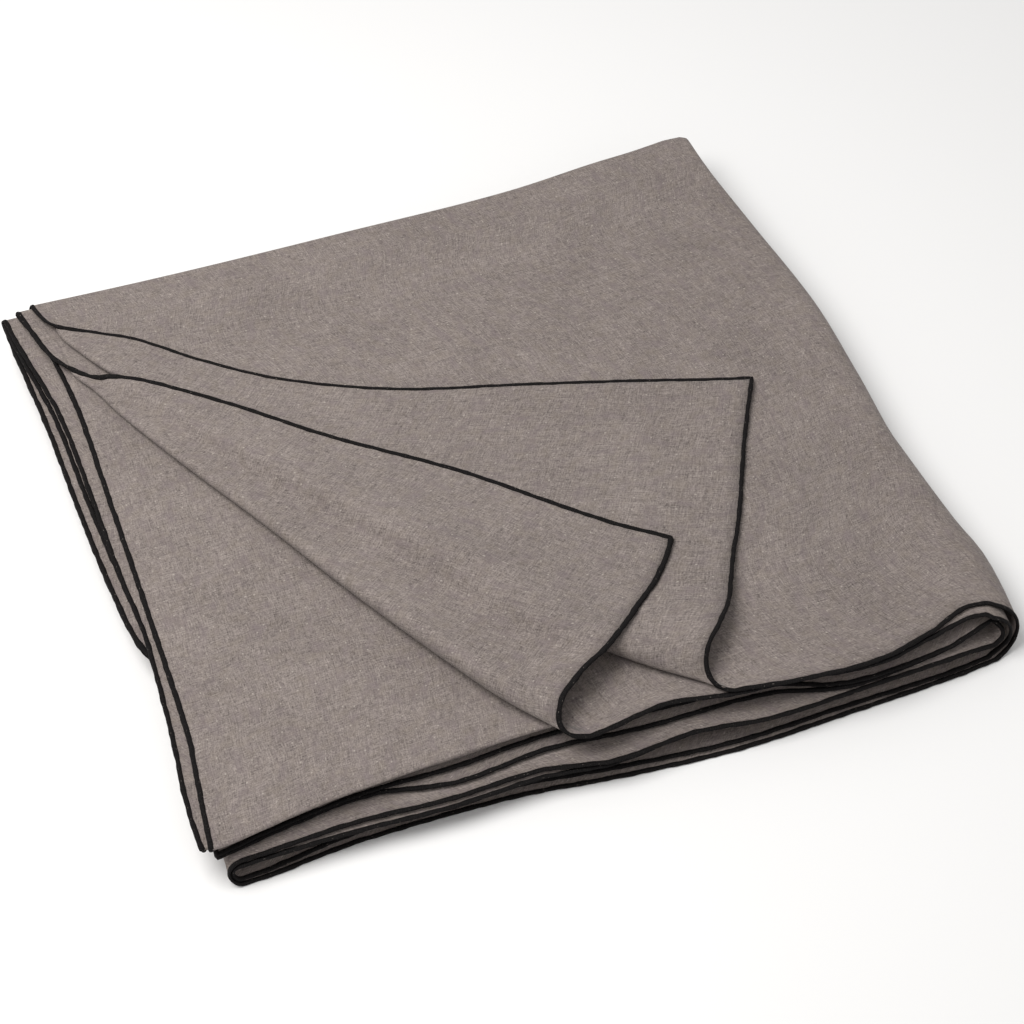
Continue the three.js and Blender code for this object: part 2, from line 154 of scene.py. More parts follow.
# %% Y of the outer fold at the back
REAR = table("run x y", [
    ("top", 0, 418.6),
    ("top", 75, 416),
    ("top", 190, 413.3),
    ("top", 300, 410.6),
    ("top", 380, 417.7),
    ("top", 420, 420.6),
    ("outer_fold", RIGHT, 416),
    ("bottom", 400, 412),
    ("bottom", 220, 408),
    ("bottom", 0, 414),
    ("left_fold", 0, 414),
    ("second", 200, 406),
    ("inner_fold", RIGHT, 411),
    ("third", 220, 411),
    ("third", 0, 420),
])

# %% X of the free hems and of the fold at the left, and how far the right side swells out
# "third" and "innermost" are hems of the top run; "lower", "middle" and "upper" of the third one.
SIDES = table("share third innermost lower middle upper fold swell", [
    (0.00, -9.0, -9.0, -6.5, -12.0, -13.0, -3.0, -3.0),
    (0.05, -6.5, -6.5, -5.5, -12.0, -13.0, -2.0, 0.3),
    (0.11, -3.5, -3.5, -4.0, -10.0, -11.0, -1.0, 2.2),
    (0.17, -0.5, -0.5, -2.0, -7.0, -8.0, 0.0, -0.6),
    (0.31, 1.2, 1.2, -1.5, -3.0, -4.0, 1.0, -3.6),
    (0.35, 1.5, 1.5, -7.5, -2.5, -3.2, 1.0, -4.1),
    (0.46, 2.5, 2.5, -11.5, -5.0, -5.0, 0.0, -1.1),
    (0.61, 3.5, 3.5, -13.5, -7.5, -5.0, -3.0, 0.6),
    (0.78, 4.5, 4.5, -14.5, -9.0, -6.0, -6.0, -5.6),
    (0.90, 0.5, 1.5, -17.0, -14.5, -12.5, -8.0, -9.6),
    (0.95, -4.5, -1.0, -18.0, -17.0, -15.5, -9.0, -10.4),
    (1.00, -10.0, -1.5, -18.5, -18.5, -17.5, -10.0, -10.4),
])

# %% The turned corners, from the front hem to the place where the turn starts
# Each row is a thread across the ply: where the turn crosses it, where its hem comes to lie, the
# hem's height over the ply, the radius of the turn, and how far round the cloth goes there, in half
# turns.
CORNERS = [
    table("y turn_x hem_x hem_y lift radius round", [
        (2, 261, 374, 204, 2.6, 8.0, 1),
        (30, 232.5, 349, 212, 2.2, 6.9, 1),
        (70, 198.5, 309, 226, 2.2, 5.8, 1),
        (130, 165.5, 249, 246, 2.2, 5.5, 1),
        (200, 121, 180, 269, 2.2, 4.4, 1),
        (260, 81, 121, 301, 2.2, 3.3, 1),
        (310, 50, 80, 335, 2.2, 2.4, 1),
        (345, 28, 51, 364, 2.4, 1.8, 1),
        (368, 16, 31, 377, 3.0, 1.6, 0.97),
        (385, 9, 12, 387, 5.0, 1.6, 0.6),
        (398, 9, 4, 399, 2.0, 1.6, 0.2),
        (414, 9, 0, 414, 0.0, 1.6, 0),
    ]),
    table("y turn_x hem_x hem_y lift radius round", [
        (5, 177, 280, 103, 4.6, 8.0, 1),
        (30, 159.5, 263, 118, 2.2, 7.0, 1),
        (70, 137.5, 233, 147, 2.2, 6.5, 1),
        (130, 108, 189, 192, 2.2, 4.8, 1),
        (200, 76.5, 131, 242, 2.2, 3.6, 1),
        (260, 48, 87, 287, 2.2, 2.8, 1),
        (310, 26, 45, 325, 2.2, 2.0, 1),
        (335, 17, 24, 339, 2.6, 1.6, 0.97),
        (352, 8.7, 10, 353, 3.4, 1.7, 0.55),
        (372, 7, 0, 372, 1.2, 1.8, 0.25),
        (414, 2, -9, 414, 0.0, 1.6, 0),
    ]),
]

# %% The front hems of the turned corners, from the tip to the place where they leave the ply
TURNED_HEMS = [
    table("x y lift", [
        (374.8, 203.5, 2.4),
        (350, 160.4, 2.2),
        (323, 109.4, 2.4),
        (306.3, 81.7, 4.0),
        (289.7, 51.7, 9.5),
        (277, 36.1, 14.5),
        (264.3, 23.1, 13.5),
        (260.7, 13.9, 5.0),
        (264.5, 5.5, 0.6),
        (270.9, 1.9, 0.0),
    ]),
    table("x y lift", [
        (280.5, 105.5, 4.6),
        (272.8, 94.3, 4.6),
        (259.9, 79.7, 6.0),
        (242.8, 64.6, 9.5),
        (224.2, 47.0, 16.0),
        (212.4, 38.9, 17.0),
        (200.5, 33.0, 17.0),
        (189.8, 25.8, 16.5),
        (182.1, 20.1, 14.5),
        (177.5, 14.0, 10.0),
        (177.4, 9.6, 4.0),
        (182.0, 4.8, 1.0),
        (190.0, 2.4, 0.0),
    ]),
]
HEM_FADE = 45.0   # behind the hem, the cloth takes the plain shape of the turn over this depth

# %% [markdown]
# ## Reading the tables
#
# A fold or a hem runs in one soft curve between the places that a table names, so the tables are
# read with a smooth curve through their rows and not with straight pieces.

# %% Smooth curves through a table
def ease(value):
    share = np.clip(value, 0, 1)
    return share * share * (3 - 2 * share)


def mix(a, b, share):
    return a + (b - a) * share


def follow(rows, key, column, at):
    """A smooth curve through one column of a table, read at one place or at many."""
    keys, values = np.array(rows[key], float), np.array(rows[column], float)
    at = np.clip(at, keys[0], keys[-1])
    before = np.maximum(np.arange(len(keys)) - 1, 0)
    after = np.minimum(np.arange(len(keys)) + 1, len(keys) - 1)
    slopes = (values[after] - values[before]) / (keys[after] - keys[before])
    row = np.clip(np.searchsorted(keys, at, side="right") - 1, 0, len(keys) - 2)
    span = keys[row + 1] - keys[row]
    part = (at - keys[row]) / span
    bend = part * (1 - part) * span
    straight = mix(values[row], values[row + 1], ease(part))
    return straight + bend * ((1 - part) * slopes[row] - part * slopes[row + 1])


def along(run, x, share=0.5):
    """Distance along the width as a number that grows by one for each run or fold."""
    index = RUN_NAMES.index(run)
    if run.endswith("fold"):
        return index + share
    to_right = run in ("top", "second")
    return index + (x / RIGHT if to_right else 1 - x / RIGHT)


for rows in (FRONT, REAR):
    rows["place"] = [along(run, x) for run, x in zip(rows["run"], rows["x"])]


def front_y(place, depth):
    """Y of the middle of a ply's cloth at the front: plies from the third on end in the fold."""
    if depth >= 1.5:
        return follow(FRONT, "place", "fold", place) + PITCH / 2
    return follow(FRONT, "place", "hem" if depth < 0.5 else "second", place)


def rear_y(place):
    """Y where the flat plies end at the back. The folds reach on from there to the Y of the table."""
    return follow(REAR, "place", "y", place) - PITCH * 1.5


# %% Heights of the layers
# Near the right side the stack dips, less at the back. Then the layers of each half are pressed
# together, by a share of their distance, and the halves part round the innermost fold.
STACK = PITCH * (LAYERS - 1)
DIP, DIP_AT, DIP_WIDTH = 2.0, 392.0, 26.0
DIP_FADE, DIP_FADED_AT = 0.375, 0.9
PRESSED, PRESSED_FROM, PRESSED_TO = 0.31, 398.0, 423.0


def run_height(run, depth, x=0.0, share=0.0):
    """Height of the middle of one layer, before the loft of the whole stack."""
    dip = DIP * np.exp(-((x - DIP_AT) / DIP_WIDTH) ** 2)
    dip *= 1 - DIP_FADE * ease(share / DIP_FADED_AT)
    stack = STACK - dip
    pressed = PRESSED * ease((x - PRESSED_FROM) / (PRESSED_TO - PRESSED_FROM))
    pitch = PITCH * (1 - pressed) * np.minimum(stack / STACK, 1)
    layer = {
        "top": 1 + depth,
        "bottom": LAYERS - depth,
        "second": LAYERS / 2 + 1 + depth,
        "third": LAYERS / 2 - depth,
    }[run]
    if layer <= LAYERS / 2:
        return LOWEST + stack - (layer - 1) * pitch
    return LOWEST + (LAYERS - layer) * pitch


# %% [markdown]
# ## Side folds and free hems
#
# The plies of a fold lie one inside the other, as in a folded newspaper: each goes round half an
# ellipse whose height is the distance between the two layers that it joins.

# %% One ply of a side fold, and the ends of the straight runs
LEAN_AT_BACK = 0.5   # under 1, the fold's tip lies nearer the top: the pile leans over at the back
FOLD_PASSES = 3      # the height of a fold depends on its start, so both are found in turns
FOLD_JOINS = {
    "outer_fold": ("top", "bottom", 1, "outer"),
    "left_fold": ("bottom", "second", -1, "left"),
    "inner_fold": ("second", "third", 1, "inner"),
}


def side_fold(name, depth, share):
    """Start, reach, top and end of one ply of a side fold."""
    first, last, way, column = FOLD_JOINS[name]
    inset = follow(SIDE_FOLDS, "depth", column, depth)
    if way > 0:
        tip = RIGHT + follow(SIDES, "share", "swell", share) - inset
    else:
        tip = follow(SIDES, "share", "fold", share) + inset
    start = RIGHT if way > 0 else 0.0
    for attempt in range(FOLD_PASSES):
        top, end = (run_height(run, depth, start, share) for run in (first, last))
        reach = abs(top - end) / 2
        start = tip - way * reach
    return start, way * reach, top, end


LEFT_HEMS = {
    "top": ("third", "third", "third", "innermost"),
    "third": ("lower", "lower", "middle", "upper"),
}


def left_hem(run, depth, share):
    """X of a ply's free end at the left."""
    places = [follow(SIDES, "share", name, share) for name in LEFT_HEMS[run]]
    return float(np.interp(depth, range(len(places)), places))


def run_ends(run, depth, share):
    """X of both ends of a straight run, in the order in which the cloth goes through it."""
    outer, left, inner = (side_fold(name, depth, share)[0] for name in FOLD_JOINS)
    if run == "top":
        return left_hem("top", depth, share), outer
    if run == "bottom":
        return outer, left
    if run == "second":
        return left, inner
    return inner, left_hem("third", depth, share)


# %% [markdown]
# ## The turned corners
#
# Each corner is bent back along a slanting line. Across that line the cloth goes round half a
# circle, wider at the front where the hem holds it open, and then sinks to the layer below. The
# second corner has to climb over the roll of the first one.

# %% One thread across a turned corner
SETTLE = 34.0            # a turned corner sinks to the layer below it over about this length
STEEPEST_SLANT = 1.2     # steepest slant of the cloth's threads across a turn
TURN_WIDTH_SHARE = 0.28  # the columns of the turn take up at least this share of a thread
LINE_STEP = 6.0          # the turn's direction is read this far before and behind each thread


def corner_line(ply, y):
    """The turn, the hem and the directions beside the turn for one thread of a corner."""
    def read(column, at=y):
        return float(follow(CORNERS[ply], "y", column, at))

    line = np.array([read("turn_x", y - LINE_STEP) - read("turn_x", y + LINE_STEP), -2 * LINE_STEP])
    line /= np.linalg.norm(line)
    across = np.array([-line[1], line[0]])
    turn, hem = np.array([read("turn_x"), y]), np.array([read("hem_x"), read("hem_y")])
    to_hem = hem - turn
    slant_back = to_hem @ line / max(to_hem @ across, 1)
    return {
        "line": line, "across": across, "turn": turn, "hem": hem,
        "slant_out": float(np.clip(line[0] / across[0], -STEEPEST_SLANT, STEEPEST_SLANT)),
        "slant_back": float(np.clip(slant_back, -STEEPEST_SLANT, STEEPEST_SLANT)),
        "angle": math.pi * max(read("round"), 0),
        "radius": read("radius"), "lift": read("lift"),
    }


def turn_points(corner, angle):
    """Places and heights over the ply of points in the turn, at angles from the flat cloth."""
    quarter, radius = math.pi / 2, corner["radius"]
    slant = np.where(angle < quarter, corner["slant_out"], corner["slant_back"])
    sideways = radius * slant * np.abs(quarter - angle)
    scale = math.sin(min(corner["angle"], quarter))
    inward = radius * (scale - np.sin(angle))
    place = corner["turn"] + np.outer(inward, corner["across"])
    place += np.outer(sideways * scale, corner["line"])
    return place, radius * (1 - np.cos(angle))


def plain_turn(corner):
    """Places and heights of one thread of a turned corner, and how far they are from the turn."""
    arc = corner["radius"] * corner["angle"]
    end_place, end_height = turn_points(corner, np.array([corner["angle"]]))
    length = np.linalg.norm(end_place[0] - corner["hem"])
    whole = arc + length
    turn_part = max(arc, TURN_WIDTH_SHARE * whole)
    steps = TURNED - np.arange(TURNED)
    distance = np.where(
        steps <= TURN_FACES,
        turn_part * steps / TURN_FACES,
        mix(turn_part, whole, (steps - TURN_FACES) / FLAP_FACES),
    )
    place, height = turn_points(corner, np.minimum(distance / corner["radius"], corner["angle"]))
    past = np.maximum(distance - arc, 0)
    share = past / length
    sunk = (1 - np.exp(-past / SETTLE)) / (1 - math.exp(-length / SETTLE))
    flat_place = mix(end_place[0], corner["hem"], share[:, None])
    flat_height = mix(end_height[0], corner["lift"], sunk)
    in_turn = distance < arc
    place = np.where(in_turn[:, None], place, flat_place)
    return np.column_stack([place, np.where(in_turn, height, flat_height)]), distance / whole


def hem_drift(ply):
    """How far the real front hem lies from the plain turn, column by column."""
    plain, from_turn = plain_turn(corner_line(ply, CORNERS[ply]["y"][0]))
    hem = TURNED_HEMS[ply]
    line = np.column_stack([hem[column] for column in ("x", "y", "lift")])
    length = np.concatenate([[0], np.cumsum(np.linalg.norm(np.diff(line, axis=0), axis=1))])
    rows = {**hem, "length": length}
    at = length[-1] * (1 - from_turn)
    real = np.column_stack([follow(rows, "length", column, at) for column in ("x", "y", "lift")])
    return real - plain


def corner_points(ply, corner):
    """The turned part of one thread, from the hem to the start of the turn."""
    points = plain_turn(corner)[0]
    behind = corner["turn"][1] - CORNERS[ply]["y"][0]
    points += HEM_DRIFTS[ply] * (1 - ease(behind / HEM_FADE))
    return points[:, :2], points[:, 2]


HEM_DRIFTS = [hem_drift(ply) for ply in range(len(CORNERS))]


# %% Where the second corner passes over the first
# The rise starts this many clearances before the edge of the roll and takes this many, and it leaves
# this much room, as a share of the pitch.
RISE_BEFORE, RISE_LENGTH = 3.4, 2.0
ROOM = 1.3
SOFTNESS = 1.5    # how gently the cloth leaves its own height, in millimetres


def soft_max(a, b, softness):
    """The larger of two heights, rounded where they meet."""
    return (a + b + np.hypot(a - b, softness)) / 2


def height_over_first(x, y):
    """Height that the second corner needs to pass over the roll and the flap of the first."""
    first = corner_line(OUTERMOST, y)
    distance = (x - first["turn"][0]) * first["across"][0]
    foot = corner_line(OUTERMOST, min(max(y - distance * first["across"][1], 0), BACK))
    clear = foot["radius"] + PITCH
    rise = ease(((distance - foot["radius"]) / clear + RISE_BEFORE) / RISE_LENGTH)
    past = max(distance - foot["radius"], 0)
    flap = mix(2 * foot["radius"], PITCH, 1 - math.exp(-past / SETTLE))
    under = run_height("top", OUTERMOST) + max(flap, PITCH) + ROOM * PITCH
    return mix(run_height("top", SECOND) + PITCH, under, rise)


def raise_over_first(corner, place, z):
    """Lifts the turned part of the second corner where it passes over the first."""
    over = np.array([height_over_first(x, y) for x, y in place])
    passed = ease((TURNED - np.arange(TURNED) - TURN_FACES / 2) / (TURN_FACES / 2))
    passed *= min(max(2 * corner["angle"] / math.pi - 1, 0), 1)
    return mix(z, soft_max(z, over, SOFTNESS), passed)


# %% [markdown]
# ## The sheet as a grid
#
# Rows are threads along the width, listed from the front hem of the outermost ply round the folds
# to the front hem of the second one. Every row has the same columns, so the grid is one sheet with
# four hems, as the real cloth is.

# %% Rows: the four plies and the folds between them
TURNED_ROWS, THIRD_ROWS, HIDDEN_ROWS = 62, 48, 20
OUTER_ROUND, INNER_ROUND = 6, 5
BACK_CROWD = 0.35      # how much closer together the rows of a turned ply lie at the back
BLEND_START = 0.55     # share of the way back where plies start to share the columns of the turn
CATCH_UP = 4           # how soon a turned thread is back on the line of its ply, as a power


def shares(count, crowd):
    """Shares from 0 to 1, closer together at the back, where the turns are tight."""
    even = np.linspace(0, 1, count + 1)
    return even + crowd * np.sin(math.pi * even) / math.pi


def ply_rows(depth, count, crowd, backwards):
    """Rows of a flat ply. "share" is how far back a row lies, from 0 to 1."""
    rows = [
        {"depth": depth, "share": share, "out": 0.0, "crest": None}
        for share in shares(count, crowd)
    ]
    return rows[::-1] if backwards else rows


def fold_rows(crest, first, last, way, faces):
    """Rows round the fold that joins two plies. "out" is how far a row stands out past them."""
    reach = PITCH * abs(first - last) / 2
    turns = np.arange(1, faces) / faces
    return [{
        "crest": crest,
        "depth": float(mix(first, last, (1 - math.cos(math.pi * turn)) / 2)),
        "share": 1.0 if way > 0 else 0.0,
        "out": way * reach * math.sin(math.pi * turn),
        "to_plain": turn if first < last else 1 - turn,
    } for turn in turns]


sheet_rows = (
    ply_rows(OUTERMOST, TURNED_ROWS, BACK_CROWD, False)
    + fold_rows("rear_outer", OUTERMOST, INNERMOST, 1, OUTER_ROUND)
    + ply_rows(INNERMOST, HIDDEN_ROWS, 0.0, True)
    + fold_rows("front", INNERMOST, THIRD, -1, INNER_ROUND)
    + ply_rows(THIRD, THIRD_ROWS, 0.0, False)
    + fold_rows("rear_inner", THIRD, SECOND, 1, INNER_ROUND)
    + ply_rows(SECOND, TURNED_ROWS, BACK_CROWD, True)
)


# %% Columns of each row
def edge_points(run, row, x):
    """Points of a row in a straight run, at these X."""
    place = along(run, x)
    y = mix(front_y(place, row["depth"]), rear_y(place), row["share"]) + row["out"]
    return np.stack([x, y, run_height(run, row["depth"], x, row["share"])], axis=1)


def rear_corner(row):
    """X of the turn and of the hem at the back of the turned ply that lies nearest to a row."""
    is_outer = row["crest"] == "rear_outer" or row["depth"] >= 2.5
    rows = CORNERS[OUTERMOST if is_outer else SECOND]
    return rows["turn_x"][-1], rows["hem_x"][-1]


def plain_top_row(row, start, end):
    """A row of the top run without a turned corner. At the back it shares the turn's columns."""
    turn_x, hem_x = rear_corner(row)
    if row["crest"] in ("rear_outer", "rear_inner"):
        joined = INNERMOST if row["crest"] == "rear_outer" else THIRD
        start = mix(hem_x, left_hem("top", joined, row["share"]), row["to_plain"])
    plain = mix(start, end, TURNED / RUNS[0][1])
    middle = mix(plain, turn_x, ease((row["share"] - BLEND_START) / (1 - BLEND_START)))
    turned = mix(start, middle, np.arange(TURNED) / TURNED)
    rest = np.linspace(middle, end, RUNS[0][1] - TURNED + 1)
    return edge_points("top", row, np.concatenate([turned, rest]))


def turned_top_row(row, end):
    """A row of the top run with a turned corner, and the rest of it up to the outer fold."""
    ply = row["depth"]
    first_y = CORNERS[ply]["y"][0]
    corner = corner_line(ply, float(mix(first_y, rear_y(along("top", 0)), row["share"])))
    place, height = corner_points(ply, corner)
    z = run_height("top", ply) + height
    if ply == SECOND:
        z = raise_over_first(corner, place, z)
    start = turn_points(corner, np.array([0.0]))[0][0]
    behind = corner["turn"][1] - first_y
    last = [TURNED_HEMS[ply][column][-1] for column in ("x", "y")]
    start = mix(start, np.array(last), (1 - ease(behind / HEM_FADE)))
    rest_share = np.linspace(0, 1, RUNS[0][1] - TURNED + 1)
    rest = edge_points("top", row, mix(start[0], end, rest_share))
    rest[:, 1] += (start[1] - rest[0, 1]) * (1 - rest_share) ** CATCH_UP
    return np.concatenate([np.column_stack([place, z]), rest])


def fold_points(name, row, faces):
    """Points of a row round a side fold, without the one where the fold starts."""
    share = np.arange(1, faces + 1) / faces
    start, reach, top, end = side_fold(name, row["depth"], row["share"])
    first, last = FOLD_JOINS[name][:2]
    place = mix(along(first, start), along(last, start), share)
    y = mix(front_y(place, row["depth"]), rear_y(place), row["share"]) + row["out"]
    lean = mix(1, LEAN_AT_BACK, ease(row["share"])) if reach > 0 else 1.0
    x = start + reach * np.sin(math.pi * share ** lean)
    z = mix(top, end, (1 - np.cos(math.pi * share)) / 2)
    return np.stack([x, y, z], axis=1)


def row_points(row):
    """All points of a row, from the left hem of the top run to the left hem of the third run."""
    points = []
    for name, faces in RUNS:
        if name.endswith("fold"):
            points.append(fold_points(name, row, faces))
            continue
        start, end = run_ends(name, row["depth"], row["share"])
        if name != "top":
            points.append(edge_points(name, row, np.linspace(start, end, faces + 1)[1:]))
        elif row["crest"] is None and row["depth"] < 1.5:
            points.append(turned_top_row(row, end))
        else:
            points.append(plain_top_row(row, start, end))
    return np.concatenate(points)


# %% [markdown]
# ## Loft
#
# Folded linen never lies dead flat, so the stack is a little loftier in some places than in others.

# %% The loft of the stack
LOFT = {"share": 0.06, "length_x": 95.0, "shift_x": 0.6, "length_y": 120.0, "shift_y": 0.4}


def settle(points):
    """Raises and lowers the layers, more near the top, so that the lowest one stays flat."""
    x, y, z = points[..., 0], points[..., 1], points[..., 2]
    wave = np.sin(x / LOFT["length_x"] + LOFT["shift_x"])
    wave *= np.cos(y / LOFT["length_y"] - LOFT["shift_y"])
    points[..., 2] = LOWEST + (z - LOWEST) * (1 + LOFT["share"] * wave)
    return points


grid = settle(np.array([row_points(row) for row in sheet_rows]))
print("grid of", grid.shape[0], "rows and", grid.shape[1], "columns")

# %% [markdown]
# ## The cloth's mesh
#
# The grid becomes one mesh. Its UV map holds the place on the flat cloth in metres, so the threads
# of the weave turn with the corners and run on round the folds.

# %% Place of each point on the flat cloth
# Depth is measured on columns well away from the turned corners, where no row is stretched.
steps_across = np.linalg.norm(np.diff(grid, axis=1), axis=2)
flat_x = np.concatenate([np.zeros((grid.shape[0], 1)), np.cumsum(steps_across, axis=1)], axis=1) * MM
plain_columns = slice(TURNED + RUNS[0][1] // 4, None)
steps_along = np.median(np.linalg.norm(np.diff(grid[:, plain_columns], axis=0), axis=2), axis=1)
flat_y = np.concatenate([[0.0], np.cumsum(steps_along)]) * MM


# %% The sheet
def to_frame(points):
    """Takes points from the tables' measure, in millimetres, to the frame, in metres."""
    return (points - np.array([*PART_MIDDLE, 0.0])) * MM


def grid_faces(rows, columns, closed=False):
    """Four-sided faces of a grid of points, whose last column meets the first if it is closed."""
    number = np.arange(rows * columns).reshape(rows, columns)
    if closed:
        number = np.concatenate([number, number[:, :1]], axis=1)
    corners = (number[:-1, :-1], number[:-1, 1:], number[1:, 1:], number[1:, :-1])
    return np.stack(corners, axis=-1).reshape(-1, 4)


def grid_piece(name, points, uv, faces, uv_faces):
    """A smooth piece with its UV map, read at other numbers than its points where the map has a seam."""
    mesh = bpy.data.meshes.new(name)
    mesh.from_pydata(to_frame(points.reshape(-1, 3)).tolist(), [], faces.tolist())
    layer = mesh.uv_layers.new(name="flat")
    layer.data.foreach_set("uv", uv.reshape(-1, 2)[uv_faces.ravel()].ravel())
    mesh.shade_smooth()
    piece = bpy.data.objects.new(name, mesh)
    bpy.context.scene.collection.objects.link(piece)
    return piece


flat_places = np.stack(np.broadcast_arrays(flat_x, flat_y[:, None]), axis=-1)
sheet_faces = grid_faces(*grid.shape[:2])
linen_sheet = grid_piece("linen_sheet", grid, flat_places, sheet_faces, sheet_faces)
bpy.context.view_layer.objects.active = linen_sheet
solidify = linen_sheet.modifiers.new("thickness", "SOLIDIFY")
solidify.thickness = LINEN * MM
solidify.offset = 0.0
bpy.ops.object.modifier_apply(modifier="thickness")
print("linen sheet:", len(linen_sheet.data.polygons), "faces")

# %% [markdown]
# ## The overlocked edge
#
# Black thread is wound over all four edges of the cloth. It is one closed cord, a little flattened,
# that follows the border of the grid round every fold. On the outermost turned corner the thread is
# pulled a little thinner, and on the second one it lies looser.

# %% The border of the grid, and the direction away from the cloth at each point of it
HEM_WIDTH, HEM_HEIGHT = 2.9, 1.8
HEM_ON_CORNERS = {OUTERMOST: 0.92, SECOND: 1.12}    # share of its size on the turned corners
HEM_CHANGE = 12         # columns over which the size changes there
HEM_STEP = 1.6
HEM_SIDES = 8
HEM_INWARD = 0.3        # how far the middle of the thread lies inside the cloth's edge
HEM_OVER_FLOOR = 0.05   # the lowest threads are pressed flat on the floor
HEM_WAVES = {           # unevenness: its size, the lengths of its waves and a seed
    "width": (0.09, (7.3, 12.1, 31.0), 4),
    "height": (0.05, (9.1, 17.0), 5),
    "aside": (0.12, (15.0, 27.0), 6),
}
WAVES_TOGETHER = 1.6    # about the height of two or three waves of height 1 together
ROUND_SHARE = 0.8       # the way round an ellipse, as a share of the way round its box


def normalised(vectors):
    return vectors / np.maximum(np.linalg.norm(vectors, axis=-1, keepdims=True), 1e-9)


def border(points):
    """The four edges of a grid as one closed line."""
    return np.concatenate([points[0], points[1:, -1], points[-1, -2::-1], points[-2:0:-1, 0]])


outward = np.zeros_like(grid)
outward[:, 0] += normalised(grid[:, 0] - grid[:, 1])
outward[:, -1] += normalised(grid[:, -1] - grid[:, -2])
outward[0] += normalised(grid[0] - grid[1])
outward[-1] += normalised(grid[-1] - grid[-2])

thread_size = np.ones((*grid.shape[:2], 1))
on_corner = ease((TURNED + HEM_CHANGE - np.arange(grid.shape[1])) / HEM_CHANGE)
for number, row in enumerate(sheet_rows):
    if row["crest"] is None and row["depth"] in HEM_ON_CORNERS:
        thread_size[number, :, 0] = mix(1, HEM_ON_CORNERS[row["depth"]], on_corner)


def even_steps(line, others, step):
    """Points at even steps along a closed line, with other values read at the same places."""
    closed = [np.concatenate([values, values[:1]]) for values in (line, *others)]
    length = np.concatenate([[0], np.cumsum(np.linalg.norm(np.diff(closed[0], axis=0), axis=1))])
    at = np.linspace(0, length[-1], round(length[-1] / step), endpoint=False)
    columns = [[np.interp(at, length, column) for column in values.T] for values in closed]
    return at, *[np.stack(values, axis=1) for values in columns]


hem_at, hem_line, hem_out, hem_size = even_steps(
    border(grid), (border(outward), border(thread_size)), HEM_STEP)
print("edge:", round(hem_at[-1] * MM, 2), "m of thread in", len(hem_at), "steps")


# %% The cord of thread
def wobble(at, name):
    """An uneven value along the thread, from a few waves."""
    size, lengths, seed = HEM_WAVES[name]
    shifts = np.random.default_rng(seed).uniform(0, 2 * math.pi, len(lengths))
    waves = [np.sin(2 * math.pi * at / length + shift) for length, shift in zip(lengths, shifts)]
    return size * sum(waves) / WAVES_TOGETHER


def ring_points(line, out, along_line, width, height):
    """Rings of an ellipse round a line, one for each of its points."""
    out = normalised(out - (out * along_line).sum(axis=1, keepdims=True) * along_line)
    up = np.cross(along_line, out)
    turn = 2 * math.pi * np.arange(HEM_SIDES) / HEM_SIDES
    wide = np.cos(turn)[None, :, None] * out[:, None] * np.reshape(width, (-1, 1, 1)) / 2
    high = np.sin(turn)[None, :, None] * up[:, None] * np.reshape(height, (-1, 1, 1)) / 2
    return line[:, None] + wide + high


def hem_piece():
    """The thread as a closed tube, with a UV map in metres along and round it."""
    tangent = normalised(np.roll(hem_line, -1, axis=0) - np.roll(hem_line, 1, axis=0))
    width = HEM_WIDTH * hem_size[:, 0] * (1 + wobble(hem_at, "width"))
    height = HEM_HEIGHT * hem_size[:, 0] * (1 + wobble(hem_at, "height"))
    aside = HEM_INWARD + wobble(hem_at, "aside")
    line = hem_line - hem_out * aside[:, None]
    rings = ring_points(line, hem_out, tangent, width, height)
    rings[..., 2] = np.maximum(rings[..., 2], HEM_OVER_FLOOR)
    rings = np.concatenate([rings, rings[:1]])
    faces = grid_faces(len(rings), HEM_SIDES, closed=True) % (len(hem_at) * HEM_SIDES)
    around = np.arange(HEM_SIDES + 1) / HEM_SIDES * 2 * (HEM_WIDTH + HEM_HEIGHT) * ROUND_SHARE
    length = np.append(hem_at, hem_at[-1] + HEM_STEP)
    uv = np.stack(np.broadcast_arrays(length[:, None], around), axis=-1) * MM
    uv_faces = grid_faces(len(rings), HEM_SIDES + 1)
    return grid_piece("edge_thread", rings[:-1], uv, faces, uv_faces)


edge_thread = hem_piece()
print("edge thread:", len(edge_thread.data.polygons), "faces")

# %% [markdown]
# ## Materials
#
# The linen is woven of uneven, heathered yarn. Warp and weft are short soft streaks across each other,
# with longer and fainter ones among them. Slubs are the few thicker and lighter ones, and nubs are
# small light knots. All of them read the UV map, whose unit is a metre of flat cloth.

